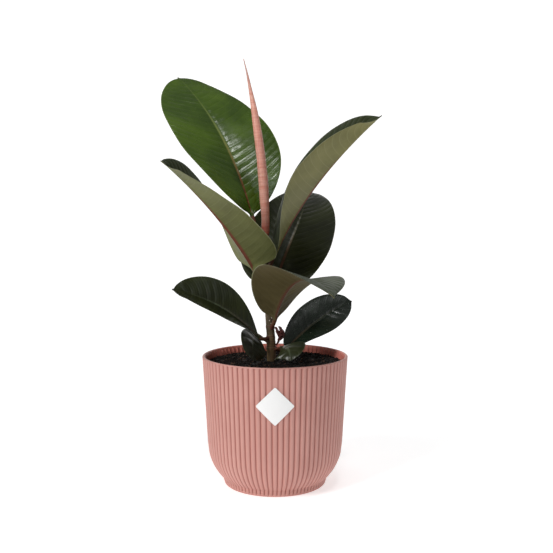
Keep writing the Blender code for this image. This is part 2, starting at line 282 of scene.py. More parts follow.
def wall_radius(height):
    """Outside of the pot at a height: a flared foot, a round shoulder and a straight wall."""
    if height >= SHOULDER_TOP:
        return mix(WALL_FOOT_RADIUS, RIM_RADIUS, (height - SHOULDER_TOP) / (POT_HEIGHT - SHOULDER_TOP))
    if height >= FOOT_HEIGHT:
        arc_middle = WALL_FOOT_RADIUS - SHOULDER_ARC
        return arc_middle + math.sqrt(SHOULDER_ARC ** 2 - (SHOULDER_TOP - height) ** 2)
    return mix(FOOT_RADIUS, wall_radius(FOOT_HEIGHT), smooth(height / FOOT_HEIGHT))


def inner_radius(height):
    """Inside of the pot at a height."""
    if height >= SHOULDER_TOP:
        return wall_radius(height) - WALL
    arc_middle = WALL_FOOT_RADIUS - SHOULDER_ARC
    return arc_middle + math.sqrt((SHOULDER_ARC - WALL) ** 2 - (SHOULDER_TOP - height) ** 2)


def rib_height(angle):
    """1 on a rib's crest and 0 in the groove: round crests and narrow grooves."""
    phase = (angle + math.pi / 2) * RIBS / (2 * math.pi)
    from_crest = abs(phase - round(phase)) * 2.0
    return max(1.0 - (from_crest * GROOVE_POINT) ** 1.9, 0.0) ** 0.65


def panel_share(angle):
    """1 on the smooth strip at the front, falling to 0 over a fraction of a rib at its sides."""
    from_front = abs((angle + math.pi / 2 + math.pi) % (2 * math.pi) - math.pi)
    edge = math.pi * (PANEL_RIBS - PANEL_EDGE) / RIBS
    return 1.0 - smooth((from_front - edge) / (edge * 0.10) + 0.5)


def outer_ring(height, depth, panel):
    """A ring round the outside with grooves of a depth; panel is 1 where the front strip is smooth."""
    count = RIBS * RIB_STEPS
    ring = []
    for i in range(count):
        angle = -math.pi / 2 + 2 * math.pi * i / count
        sink = depth * (1.0 - rib_height(angle)) * (1.0 - panel * panel_share(angle))
        sink += depth * 0.12 * panel * panel_share(angle)
        radius = wall_radius(height) - sink
        ring.append((radius * math.cos(angle), radius * math.sin(angle), height))
    return ring


def inner_ring(radius, height, depth=0.0):
    """A ring of a set radius, plain or with the wall's flutes sunk to a depth."""
    count = RIBS * RIB_STEPS
    ring = []
    for i in range(count):
        angle = -math.pi / 2 + 2 * math.pi * i / count
        reach = radius + depth * (rib_height(angle) - 1.0)
        ring.append((reach * math.cos(angle), reach * math.sin(angle), height))
    return ring


def build_pot():
    """The fluted pot from its underside up the wall, over the rim and down inside."""
    rings = [inner_ring(FOOT_RADIUS - 2.5 * MM, 0.15 * MM), inner_ring(FOOT_RADIUS - 1.6 * MM, 0.0)]
    rings.append(inner_ring(FOOT_RADIUS - 0.6 * MM, 0.25 * MM))
    for height, depth in ((0.9, 0.25), (1.6, 0.6), (2.6, 0.9), (4.0, 1.0), (5.3, 1.0), (6.5, 1.0)):
        rings.append(outer_ring(height * MM, depth * RIB_DEPTH, 0.0))
    steps = 14
    for i in range(1, steps + 1):
        turn = i / steps
        height = mix(FOOT_HEIGHT, SHOULDER_TOP, 1.0 - math.sqrt(1.0 - turn ** 1.4) if turn < 1 else 1.0)
        rings.append(outer_ring(height, RIB_DEPTH, 0.0))
    panel_foot = STICKER_HEIGHT - 6 * MM
    flute_top = POT_HEIGHT - LIP_BAND
    for height in (50 * MM, 60 * MM, 70 * MM, panel_foot - 1 * MM):
        rings.append(outer_ring(height, RIB_DEPTH, 0.0))
    panel_heights = (panel_foot + 1 * MM, 95 * MM, 105 * MM, 114 * MM,
                     flute_top - 1.0 * MM, flute_top - 0.4 * MM)
    for height in panel_heights:
        rings.append(outer_ring(height, RIB_DEPTH, 1.0))
    rings.append(outer_ring(flute_top, RIB_DEPTH * 0.55, 1.0))
    rings.append(outer_ring(flute_top + 0.35 * MM, 0.0, 1.0))
    lip_middle = RIM_RADIUS - WALL / 2
    for i in range(7):
        angle = math.pi * i / 6
        reach = lip_middle + WALL / 2 * math.cos(angle) * 0.97
        rings.append(inner_ring(reach, POT_HEIGHT - LIP_DROP + LIP_DROP * math.sin(angle)))
    for drop, depth in ((1.9, 0.0), (2.4, 0.8), (3.2, 1.0)):
        height = POT_HEIGHT - drop * MM
        rings.append(inner_ring(inner_radius(height), height, depth * RIB_DEPTH))
    rings.append(inner_ring(inner_radius(INNER_FLUTE_END), INNER_FLUTE_END, RIB_DEPTH))
    for height in (SHOULDER_TOP, 20 * MM, 8 * MM, FLOOR):
        rings.append(inner_ring(inner_radius(height), height))
    mesh = tube_mesh("fluted_pot", rings)
    # groove and inside feed the finish: painted shade in the grooves and painted light on the inner wall
    groove = mesh.attributes.new("groove", "FLOAT", "POINT")
    inside = mesh.attributes.new("inside", "FLOAT", "POINT")
    for number, vert in enumerate(mesh.vertices):
        around = math.atan2(vert.co.y, vert.co.x)
        plain = vert.co.z > flute_top or vert.co.z < 2 * MM
        groove.data[number].value = 0.0 if plain else 1.0 - rib_height(around)
        reach = math.hypot(vert.co.x, vert.co.y)
        within = vert.co.z > FLOOR and reach < inner_radius(vert.co.z) + 0.5 * MM
        inside.data[number].value = 1.0 if within else 0.0
    return make_piece("fluted_pot", mesh, ["pot"], 50.0)


def build_sticker():
    """A blank square sheet with rounded corners, set on its corner and bent to the wall."""
    steps = 24
    half = STICKER_SIDE / 2
    corner = 1.2 * MM
    model = bmesh.new()
    grids = []
    for lift in (STICKER_LIFT, STICKER_LIFT + STICKER_THICKNESS):
        grid = {}
        for row in range(steps + 1):
            for column in range(steps + 1):
                across = mix(-half, half, column / steps)
                along = mix(-half, half, row / steps)
                reach_x = max(abs(across) - (half - corner), 0.0)
                reach_y = max(abs(along) - (half - corner), 0.0)
                far = math.hypot(reach_x, reach_y)
                if far > corner:
                    across -= math.copysign(reach_x * (1 - corner / far), across)
                    along -= math.copysign(reach_y * (1 - corner / far), along)
                x = (across - along) / math.sqrt(2)
                z = STICKER_HEIGHT + (across + along) / math.sqrt(2)
                radius = wall_radius(z) + lift
                angle = -math.pi / 2 + x / radius
                grid[row, column] = model.verts.new((radius * math.cos(angle), radius * math.sin(angle), z))
        grids.append(grid)
    back, front = grids
    for row in range(steps):
        for column in range(steps):
            corners = ((row, column), (row, column + 1), (row + 1, column + 1), (row + 1, column))
            for grid in grids:
                model.faces.new([grid[c] for c in corners])
    for i in range(steps):
        edges = (((0, i), (0, i + 1)), ((steps, i), (steps, i + 1)), ((i, 0), (i + 1, 0)),
                 ((i, steps), (i + 1, steps)))
        for a, b in edges:
            model.faces.new((back[a], back[b], front[b], front[a]))
    bmesh.ops.recalc_face_normals(model, faces=model.faces)
    mesh = bpy.data.meshes.new("blank_label")
    model.to_mesh(mesh)
    model.free()
    return make_piece("blank_label", mesh, ["blank_sticker"], 40.0)


# ---------------------------------------------------------------- stem

STEM_BACK = 9.0 * MM
STEM_LEAN = ((93.0, -3.2), (115.0, -3.4), (142.0, -4.2), (157.0, -5.4), (205.0, -7.8), (237.0, -9.2))
STEM_FOOT_RADIUS = 4.8 * MM
STEM_TOP_RADIUS = 3.1 * MM
STEM_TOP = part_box("stem")[1].z
STEM_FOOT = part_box("stem")[0].z
NODE_SWELL = 0.35 * MM          # the ring where each leaf grows
SCAR_RISE = 0.16 * MM
BARK_GROOVES = 0.10 * MM


def stem_middle(height):
    return Vector((curve_table(STEM_LEAN, height / MM, 1) * MM, STEM_BACK, height))


def stem_radius(height):
    climb = (height - STEM_FOOT) / (STEM_TOP - STEM_FOOT)
    radius = mix(STEM_FOOT_RADIUS, STEM_TOP_RADIUS, climb)
    for leaf in LEAVES.values():
        radius += NODE_SWELL * max(0.0, 1.0 - abs(height / MM - leaf.joint) / 2.5)
    return radius


def build_stem():
    """The stem with a raised scar ring at each joint and shallow grooves along the bark."""
    rng = random.Random(5)
    columns = 40
    rows = 220
    rings = []
    scars = []
    for row in range(rows + 1):
        height = mix(STEM_FOOT, STEM_TOP, row / rows)
        middle = stem_middle(height)
        top_round = smooth((STEM_TOP - height) / (2.2 * MM) + 0.1)
        scar = max(math.exp(-((height / MM - leaf.joint - 1.6) / 0.45) ** 2) for leaf in LEAVES.values())
        ring = []
        for i in range(columns):
            angle = 2 * math.pi * i / columns
            spot = Vector((math.cos(angle) * 2.2, math.sin(angle) * 2.2, height / MM * 0.10))
            groove = noise.noise(spot) * BARK_GROOVES + noise.noise(spot * 3.1) * 0.05 * MM
            reach = (stem_radius(height) - BARK_GROOVES + groove + SCAR_RISE * scar) * top_round
            ring.append((middle.x + reach * math.cos(angle), middle.y + reach * math.sin(angle), height))
            scars.append(scar)
        rings.append(ring)
    mesh = tube_mesh("stem_bark", rings, {"scar": scars})
    return make_piece("stem_bark", mesh, ["stem"], 60.0)


# ---------------------------------------------------------------- soil

SOIL_LEVEL = 117.2 * MM
SOIL_SINK = 0.9 * MM            # the bed lies this far below the soil's level
SOIL_EDGE = 0.9 * MM            # room between the bed and the wall
STEM_ROOM = 4.6 * MM            # crumbs keep this far from the stem's middle


def soil_height(x, y):
    """Lumpy surface of the soil bed."""
    lumps = noise.noise(Vector((x, y, 0.0)) * 90.0) * 1.1 + noise.noise(Vector((x, y, 3.0)) * 240.0) * 0.7
    fine = noise.noise(Vector((x, y, 7.0)) * 620.0) * 0.45
    return SOIL_LEVEL - SOIL_SINK + (lumps + fine) * 0.45 * MM


def build_soil():
    """The bed of soil that fills the pot under the crumbs."""
    columns = 160
    rings = []
    for height in (FLOOR + 0.3 * MM, 8 * MM, 20 * MM, SHOULDER_TOP, SOIL_LEVEL - 2.4 * MM):
        radius = inner_radius(height) - 0.6 * MM
        angles = [2 * math.pi * i / columns for i in range(columns)]
        rings.append([(radius * math.cos(angle), radius * math.sin(angle), height) for angle in angles])
    edge = inner_radius(SOIL_LEVEL) - SOIL_EDGE
    steps = 44
    middle = stem_middle(SOIL_LEVEL)
    for k in range(steps):
        share = 1.0 - k / steps
        radius = mix(2.0 * MM, edge, share)
        ring = []
        for i in range(columns):
            angle = 2 * math.pi * i / columns
            x = middle.x * (1 - share) + radius * math.cos(angle)
            y = middle.y * (1 - share) + radius * math.sin(angle)
            ring.append((x, y, soil_height(x, y)))
        rings.append(ring)
    mesh = tube_mesh("soil_bed", rings)
    return make_piece("soil_bed", mesh, ["potting_soil"])


def crumb_points(rng, size):
    """A small irregular lump: a subdivided icosahedron pushed about by noise."""
    model = bmesh.new()
    bmesh.ops.create_icosphere(model, subdivisions=1, radius=size)
    offset = Vector((rng.uniform(0, 50), rng.uniform(0, 50), rng.uniform(0, 50)))
    stretch = Vector((rng.uniform(0.7, 1.4), rng.uniform(0.7, 1.3), rng.uniform(0.5, 0.9)))
    angle = rng.uniform(0, math.tau)
    axis = Vector((rng.random(), rng.random(), rng.random() + 0.1))
    turn = Matrix.Rotation(angle, 3, axis)
    points = []
    for vert in model.verts:
        push = 1.0 + 0.45 * noise.noise(vert.co / size * 1.3 + offset)
        local = vert.co * push
        points.append(turn @ Vector((local.x * stretch.x, local.y * stretch.y, local.z * stretch.z)))
    faces = [[v.index for v in face.verts] for face in model.faces]
    model.free()
    return points, faces


def build_crumbs(name, count, sizes, seed):
    """Loose crumbs scattered over the soil as one piece."""
    rng = random.Random(seed)
    edge = inner_radius(SOIL_LEVEL) - 2.2 * MM
    stem = stem_middle(SOIL_LEVEL)
    points, faces, tones = [], [], []
    while count > 0:
        size = rng.uniform(*sizes) * MM
        angle = rng.uniform(0, math.tau)
        reach = edge * math.sqrt(rng.random())
        x, y = reach * math.cos(angle), reach * math.sin(angle)
        near_stem = math.hypot(x - stem.x, y - stem.y) < STEM_ROOM + size
        if near_stem or reach + size > edge + 1.2 * MM:
            continue
        count -= 1
        lump, lump_faces = crumb_points(rng, size)
        place = Vector((x, y, soil_height(x, y) + size * 0.25))
        start = len(points)
        points += [tuple(place + p) for p in lump]
        faces += [[start + i for i in face] for face in lump_faces]
        tones += [rng.random()] * len(lump)
    mesh = bpy.data.meshes.new(name)
    mesh.from_pydata(points, [], faces)
    layer = mesh.attributes.new("tone", "FLOAT", "POINT")
    layer.data.foreach_set("value", tones)
    return make_piece(name, mesh, [], 30.0)


# ---------------------------------------------------------------- leaves

# The same growth as the frame's leaves, lengths in millimetres and angles in degrees.
Leaf = namedtuple("Leaf", "joint foot heading turn rise droop length width roll twist fold fold_end cup "
                          "widest base end")

LEAVES = {
    "leaf_soil_right": Leaf(127, (6, 1, 131), -47, -48, 18, -85, 27, 35, -33, 6, -14, 7, -10, 0.46, 0.65, 0.70),
    "leaf_low_right": Leaf(129, (10, 13, 126), 21, 21, 45, -34, 95, 45, -44, -22, 33, 22, 10, 0.46, 0.75, 0.70),
    "leaf_soil_left": Leaf(134, (-18, 9, 142), 253, 30, -4, -58, 39, 36, 48, 5, 16, -4, -5, 0.59, 0.60, 0.50),
    "leaf_low_left": Leaf(139, (-15, -3, 141), 202, 13, 47, -35, 104, 49, 53, -9, 33, 16, -1, 0.56, 0.95, 0.70),
    "leaf_front": Leaf(149, (0, 1, 158), -68, 2, 59, -89, 143, 79, -1, 19, 34, -3, -4, 0.51, 0.45, 0.95),
    "leaf_back_right": Leaf(170, (-2, 17, 184), 46, 45, 66, -51, 163, 92, -22, 14, 19, 13, -1, 0.28, 0.80, 0.65),
    "leaf_left": Leaf(182, (-20, 1, 206), 216, 38, 56, -41, 169, 73, -9, 68, 21, 49, -9, 0.17, 0.95, 0.65),
    "leaf_right": Leaf(206, (0, 0, 222), -20, -42, 65, -43, 178, 94, -31, -4, 13, 62, -10, 0.37, 0.95, 0.90),
    "leaf_back_left": Leaf(223, (-22, 12, 257), 137, -10, 70, -40, 198, 110, 11, 2, 23, -6, -4, 0.43, 0.88, 0.50),
}

LEAF_THICKNESS = 0.6 * MM
STALK_RADIUS = 2.1 * MM
STALK_BLEND = 0.035             # share of the blade over which the round stalk turns flat
TIP_HALF_WIDTH = 0.35 * MM
TIP_FLAT = 0.10                 # the last share of the blade, which opens out flat
OVAL_END = 0.985                # share of the blade where the oval ends and the small point is left
POINT_WIDTH = 0.02
WAVE_HEIGHT = 1.5 * MM          # slow waves, strongest at the margin
RIDGE_HEIGHT = 0.30 * MM        # swelling between neighbouring lateral veins
CHANNEL_DEPTH = 0.45 * MM       # groove over the midrib
CHANNEL_WIDTH = 1.3 * MM
VEIN_SPACING = 8.4              # millimetres between lateral veins
VEIN_SLANT = 0.22               # how far a vein runs forward for each step across


def direction(heading, climb):
    return Vector((math.cos(climb) * math.cos(heading), math.cos(climb) * math.sin(heading), math.sin(climb)))


def blade_half_width(leaf, along):
    """Half width at a share of the blade: an oval with its own broadest place, and a small point."""
    power = math.log(0.5) / math.log(leaf.widest)
    oval = max(math.sin(math.pi * min(along / OVAL_END, 1.0) ** power), 0.0)
    body = oval ** (leaf.base if along < leaf.widest else leaf.end)
    if along > 0.9:
        body = max(body, POINT_WIDTH * min(2 * (1.0 - along) / (1.0 - OVAL_END), 1.0))
    return max(body * leaf.width * MM / 2, TIP_HALF_WIDTH)


def blade_frame(leaf, along):
    """Direction, side and upper side of the midrib at a share of the blade."""
    heading = math.radians(leaf.heading + leaf.turn * along)
    climb = math.radians(leaf.rise + leaf.droop * along)
    roll = math.radians(leaf.roll + leaf.twist * along)
    forward = direction(heading, climb)
    side = Vector((math.sin(heading), -math.cos(heading), 0.0))
    upper = side.cross(forward)
    turned_side = side * math.cos(roll) + upper * math.sin(roll)
    turned_upper = upper * math.cos(roll) - side * math.sin(roll)
    return forward, turned_side, turned_upper


def blade_path(leaf, shares):
    """Frames along the midrib at the given shares of the blade, found by walking it in small steps."""
    steps = 320
    walked = [Vector(leaf.foot) * MM]
    for i in range(steps):
        forward = blade_frame(leaf, (i + 0.5) / steps)[0]
        walked.append(walked[-1] + forward * (leaf.length * MM / steps))
    frames = []
    for share in shares:
        i = min(int(share * steps), steps - 1)
        frames.append((walked[i].lerp(walked[i + 1], share * steps - i), *blade_frame(leaf, share)))
    return frames


def blade_shares(stations):
    """Shares of the blade for its rings, closer together at the foot and the tip."""
    evens = [i / stations for i in range(stations + 1)]
    return [mix(even, 0.5 - 0.5 * math.cos(math.pi * even), 0.6) for even in evens]


def stalk_path(leaf, stations):
    """Points and frames from inside the stem, up along it, to the blade's foot."""
    foot_forward, foot_side, foot_upper = blade_frame(leaf, 0.0)
    foot_point = Vector(leaf.foot) * MM
    middle = stem_middle(leaf.joint * MM)
    outward = Vector((foot_point.x - middle.x, foot_point.y - middle.y, 0.0)).normalized()
    start = middle + outward * (stem_radius(leaf.joint * MM) * 0.55)
    reach = (foot_point - start).length
    climb = max(foot_point.z - start.z, 0.0) / reach
    pull = (outward * (1.0 - 0.6 * climb) + Vector((0.0, 0.0, 0.6 * climb))) * (0.55 * reach)
    arrive = foot_forward * reach
    frames = []
    for i in range(stations):
        t = i / stations
        point = start * (2 * t ** 3 - 3 * t ** 2 + 1) + pull * (t ** 3 - 2 * t ** 2 + t)
        point = point + foot_point * (3 * t ** 2 - 2 * t ** 3) + arrive * (t ** 3 - t ** 2)
        forward = (foot_point - start) * (6 * t - 6 * t ** 2) + pull * (3 * t ** 2 - 4 * t + 1)
        forward = (forward + arrive * (3 * t ** 2 - 2 * t)).normalized()
        side = (foot_side - forward * foot_side.dot(forward)).normalized()
        frames.append((point, forward, side, side.cross(forward)))
    return frames


def blade_section(leaf, along, columns):
    """Points of one half from midrib to margin as (across, up, tilt) for a half width of 1."""
    open_out = min((1.0 - along) / TIP_FLAT, 1.0)
    fold = math.radians(mix(leaf.fold, leaf.fold_end, along)) * open_out
    cup = math.radians(leaf.cup) * open_out
    points = [(0.0, 0.0, fold)]
    across = up = 0.0
    for i in range(columns):
        tilt = fold + cup * (i + 0.5) / columns
        across += math.cos(tilt) / columns
        up += math.sin(tilt) / columns
        points.append((across, up, fold + cup * (i + 1) / columns))
    return points


def build_leaf(name, leaf, seed, finishes):
    """One leaf: round stalk, blade with a raised midrib below, gentle waves and a thin margin."""
    top_finish, under_finish, stalk_finish = finishes
    size = leaf.length / 195.0
    stations = max(int(90 * size), 44)
    half_columns = max(int(18 * size ** 0.5), 10)
    count = 4 * half_columns
    radius = STALK_RADIUS * min(1.0, 0.45 + leaf.length / 250.0)
    rng = random.Random(seed)
    drift = Vector((rng.uniform(0, 90), rng.uniform(0, 90), rng.uniform(0, 90)))

    def round_ring(point, side, upper, reach):
        ring = []
        for i in range(count):
            angle = math.pi - 2 * math.pi * i / count
            ring.append(point + side * (reach * math.cos(angle)) + upper * (reach * math.sin(angle)))
        return ring

    rings, alongs, acrosses = [], [], []
    stalk_rows = 12
    for i, (point, _, side, upper) in enumerate(stalk_path(leaf, stalk_rows)):
        swell = 1.0 + 0.22 * math.exp(-(i / 1.8) ** 2)
        rings.append(round_ring(point, side, upper, radius * swell))
        alongs += [-1.0 + i / stalk_rows] * count
        acrosses += [0.0] * count

    shares = blade_shares(stations)
    for along, (point, _, side, upper) in zip(shares, blade_path(leaf, shares)):
        half = blade_half_width(leaf, along)
        section = blade_section(leaf, max(along, 0.004), half_columns)
        thin = LEAF_THICKNESS * (1.0 if along < 0.85 else mix(1.0, 0.6, (along - 0.85) / 0.15))
        rib = mix(1.5 * MM, 0.15 * MM, min(along / 0.85, 1.0)) * min(size + 0.25, 1.0)
        rib_width = mix(1.7 * MM, 0.5 * MM, min(along / 0.85, 1.0)) * min(size + 0.25, 1.0)
        ring, across_values = [], []

        def surface(hand, column, below):
            across, up, tilt = section[column]
            share = column / half_columns
            spot = point + side * (hand * across * half) + upper * (up * half)
            normal = upper if column == 0 else upper * math.cos(tilt) - side * (hand * math.sin(tilt))
            wave = noise.noise(drift + Vector((along * 5.5, hand * share * 1.3, 0.0)))
            wave *= WAVE_HEIGHT * share * size
            vein = (along * leaf.length - share * half / MM * VEIN_SLANT) / VEIN_SPACING
            strength = 0.6 + 0.9 * noise.noise(drift + Vector((along * 7.0, hand * 4.0 + share, 3.0)))
            ridge = (abs(math.sin(math.pi * vein)) - 0.6) * RIDGE_HEIGHT * strength
            ridge *= smooth(share * 6.0) * smooth((1.0 - share) * 5.0) * smooth((1.0 - along) * 8.0)
            channel = -CHANNEL_DEPTH * math.exp(-(share * half / CHANNEL_WIDTH) ** 2)
            channel *= smooth((1.0 - along) * 4.0)
            keel = 0.0
            if below > 0.0:
                keel = rib * math.exp(-(share * half / rib_width) ** 2)
                channel = 0.0
            fade = smooth(along * 14.0)
            return spot + normal * ((wave + ridge + channel) * fade - below - keel)

        order = [(-1, c) for c in range(half_columns, 0, -1)] + [(1, c) for c in range(0, half_columns + 1)]
        for hand, column in order:
            below = thin / 2 if column == half_columns else 0.0
            ring.append(surface(hand, column, below * 0.999))
            across_values.append(hand * column / half_columns)
        under = [(1, c) for c in range(half_columns - 1, 0, -1)] + [(-1, c) for c in range(0, half_columns)]
        for hand, column in under:
            ring.append(surface(hand, column, thin))
            across_values.append(hand * column / half_columns)
        blend = smooth(along / STALK_BLEND)
        if blend < 1.0:
            round_one = round_ring(point, side, upper, radius)
            ring = [r.lerp(f, blend) for r, f in zip(round_one, ring)]
        rings.append(ring)
        alongs += [along] * count
        acrosses += across_values

    mesh = tube_mesh(name, rings, {"along": alongs, "across": acrosses})
    mesh.materials.append(top_finish)
    mesh.materials.append(under_finish)
    mesh.materials.append(stalk_finish)
    top_columns = 2 * half_columns
    for index, face in enumerate(mesh.polygons):
        row, column = divmod(index, count)
        if row >= len(rings) - 1:
            face.material_index = 2 if index % 2 == 0 else 0
        elif row < stalk_rows:
            face.material_index = 2
        else:
            face.material_index = 0 if column < top_columns else 1
    return make_piece(name + "_blade", mesh, [name], 60.0)


# ---------------------------------------------------------------- sheaths

# Lengths in millimetres: beads and lobes as (x, y, z, radius), the sheath as (height, lean, radius).
SAP_BEADS = ((-3.3, 5.9, 159.0, 0.75), (-5.4, 5.3, 156.3, 0.55), (-4.0, 5.4, 153.4, 0.4))
SHEATH_FRONT = 6.0 * MM
SHEATH = ((237.0, -9.3, 2.6), (241.0, -9.3, 3.7), (258.0, -9.3, 3.9), (270.0, -10.1, 4.4), (287.0, -11.0, 4.7),
          (303.0, -12.4, 4.5), (320.0, -14.2, 4.3), (339.0, -16.8, 4.0), (358.0, -19.7, 3.1), (375.0, -22.9, 1.9),
          (393.0, -26.6, 0.9), (406.0, -29.8, 0.4))
HUSK_LOBES = (
    ((1.0, 6.4, 132.0, 0.8), (3.2, 4.6, 135.5, 1.0), (4.6, 3.2, 139.0, 1.5), (4.0, 2.4, 143.0, 2.0),
     (2.3, 1.8, 147.0, 1.6), (0.9, 1.4, 149.8, 0.9), (-0.6, 1.0, 150.4, 0.6)),
    ((3.6, 4.0, 136.5, 0.9), (5.2, 3.0, 140.0, 1.9), (6.3, 2.2, 143.6, 2.3), (6.4, 1.4, 147.2, 1.9),
     (5.0, 0.9, 150.0, 1.2), (3.2, 0.8, 150.8, 0.6)),
    ((4.2, 3.6, 137.5, 0.8), (6.8, 2.6, 140.0, 1.3), (8.0, 2.0, 143.0, 1.4), (8.2, 1.6, 145.8, 0.9),
     (7.6, 1.4, 147.4, 0.5)),
)


def build_sheath():
    """The pink spear: a rolled sheath whose overlapping edge winds slowly round it."""
    columns = 48
    rows = 190
    rings, climbs, rounds = [], [], []
    for row in range(rows + 1):
        climb = row / rows
        height = mix(SHEATH[0][0], SHEATH[-1][0], climb)
        lean = curve_table(SHEATH, height, 1)
        radius = max(curve_table(SHEATH, height, 2), 0.25)
        back = mix(STEM_BACK, SHEATH_FRONT, smooth((height - 237.0) / 30.0))
        seam = -0.45 + 0.5 * climb
        ring = []
        for i in range(columns):
            angle = math.tau * i / columns
            turn = ((angle - seam) % math.tau) / math.tau
            step = 0.10 * smooth(turn * 12.0) * (1.0 - 0.8 * turn)
            band = 0.02 * math.sin(height * 1.45 + 0.6 * math.sin(angle * 2))
            reach = radius * MM * (0.93 + step + band * 0.5)
            ring.append((lean * MM + reach * math.cos(angle), back + reach * math.sin(angle), height * MM))
            climbs.append(climb)
            rounds.append(turn)
        rings.append(ring)
    # round is 0 at the overlapping edge, where the finish paints a darker red that is partly painted shade
    mesh = tube_mesh("pink_sheath", rings, {"climb": climbs, "round": rounds})
    return make_piece("pink_sheath", mesh, ["growing_sheath"], 70.0)


def crumpled_tube(lobe, columns, rows, phase):
    """Rings of one curled lobe: a tapering tube with deep creases along it."""
    rings = []
    for row in range(rows + 1):
        t = row / rows * (len(lobe) - 1)
        i = min(int(t), len(lobe) - 2)
        here, ahead = lobe[i], lobe[i + 1]
        x, y, z, radius = (mix(here[k], ahead[k], t - i) for k in range(4))
        forward = (Vector(ahead[:3]) - Vector(here[:3])).normalized()
        side = Vector((0.0, 1.0, 0.0))
        side = (side - forward * side.dot(forward)).normalized()
        upper = side.cross(forward)
        ring = []
        for k in range(columns):
            angle = math.tau * k / columns
            spot = Vector((math.cos(angle) * 1.7, math.sin(angle) * 1.7, row * 0.16 + phase))
            reach = radius * (0.80 + 0.75 * noise.noise(spot) + 0.15 * math.sin(angle * 5 + row * 0.2))
            offset = side * (reach * math.cos(angle)) + upper * (reach * math.sin(angle))
            ring.append((Vector((x, y, z)) + offset) * MM)
        rings.append(ring)
    return rings


def build_husk():
    """The dried sheath: crumpled dark lobes curling away from one short foot."""
    model = bmesh.new()
    for number, lobe in enumerate(HUSK_LOBES):
        model.from_mesh(tube_mesh("husk_lobe", crumpled_tube(lobe, 32, 64, number * 9.0)))
    mesh = bpy.data.meshes.new("dried_husk")
    model.to_mesh(mesh)
    model.free()
    return make_piece("dried_husk", mesh, ["dried_sheath"], 60.0)


def build_beads(name, beads):
    """Small sagging beads on the stem: (x, y, z, radius) in millimetres."""
    model = bmesh.new()
    for x, y, z, radius in beads:
        made = bmesh.ops.create_icosphere(model, subdivisions=3, radius=radius * MM)
        for vert in made["verts"]:
            sag = 1.0 + 0.4 * max(-vert.co.z / (radius * MM), 0.0)
            vert.co = Vector((vert.co.x, vert.co.y * 0.7, vert.co.z * sag)) + Vector((x, y, z)) * MM
    mesh = bpy.data.meshes.new(name)
    model.to_mesh(mesh)
    model.free()
    return make_piece(name, mesh, [])


# ---------------------------------------------------------------- finishes

def pot_finish():
    """Dyed matt plastic: even pink with faint mottling and a very fine grain; painted shade darkens the grooves
    between the ribs and a brighter, redder painted light colours the inner wall.
    """
    f = Finish("pink_matt_plastic")
    mottle = f.noise(38.0, 4.0)
    colour = f.colour(mottle.over(0.35, 0.7), (0.545, 0.262, 0.222), (0.575, 0.284, 0.242))
    # painted light: the inner wall gets a brighter, redder copy of the pink, standing in for light bounced inside
    # the pot
    colour = f.colour(f.attribute("inside").over(0.2, 0.8), colour, (0.72, 0.215, 0.165))
    # painted shade: the grooves between the ribs are darkened towards a deep red-brown
    colour = f.colour(f.attribute("groove").over(0.05, 0.85) * 0.80, colour, (0.34, 0.105, 0.080))
    grain = f.noise(2600.0, 2.0)
    wide = f.noise(160.0, 3.0)
    return f.surface(base_color=colour, roughness=0.46 + 0.12 * wide,
                     normal=f.bump(grain + wide * 0.5, 0.00006, 0.35))


def sticker_finish():
    """Smooth unprinted paper."""
    f = Finish("blank_white_paper")
    fibre = f.noise(900.0, 4.0)
    colour = f.colour(fibre, (0.86, 0.86, 0.85), (0.90, 0.90, 0.895))
    return f.surface(base_color=colour, roughness=0.5 + 0.08 * fibre, normal=f.bump(fibre, 0.00004, 0.3))


def soil_finish():
    """Near-black damp peat; the palest crumbs are reddish brown."""
    f = Finish("damp_peat")
    coarse = f.noise(260.0, 6.0, 0.65)
    fine = f.noise(1400.0, 4.0, 0.6)
    tone = f.attribute("tone")
    colour = f.colour(coarse.over(0.35, 0.68), (0.0025, 0.0019, 0.0015), (0.0115, 0.0080, 0.0058))
    colour = f.colour(tone.over(0.84, 0.99), colour, (0.095, 0.052, 0.034))
    return f.surface(base_color=colour, roughness=0.70 + 0.25 * fine, specular_ior_level=0.22,
                     normal=f.bump(coarse + fine * 0.6, 0.0006, 0.9))


def stem_finish():
    """Bark: tan and olive at the foot, green-brown above, with reddish scar rings and pale pores."""
    f = Finish("young_bark")
    height = f.node("ShaderNodeSeparateXYZ", None, {"Vector": f.place()}, output=2)
    streak = f.noise(55.0, 5.0, 0.6, (9.0, 9.0, 0.8))
    foot = f.colour(streak.over(0.3, 0.7), (0.075, 0.048, 0.018), (0.21, 0.135, 0.062))
    upper = f.colour(streak.over(0.3, 0.7), (0.048, 0.034, 0.014), (0.120, 0.078, 0.038))
    colour = f.colour(height.over(0.138, 0.147), foot, upper)
    pores = f.cells(900.0, (1.0, 1.0, 0.45)).over(0.22, 0.12)
    colour = f.colour(pores * 0.5, colour, (0.30, 0.21, 0.11))
    colour = f.colour(f.attribute("scar").over(0.25, 0.8) * 0.85, colour, (0.085, 0.018, 0.010))
    rough = 0.42 + 0.25 * streak
    return f.surface(base_color=colour, roughness=rough, normal=f.bump(streak + pores * 0.5, 0.00030, 0.7))


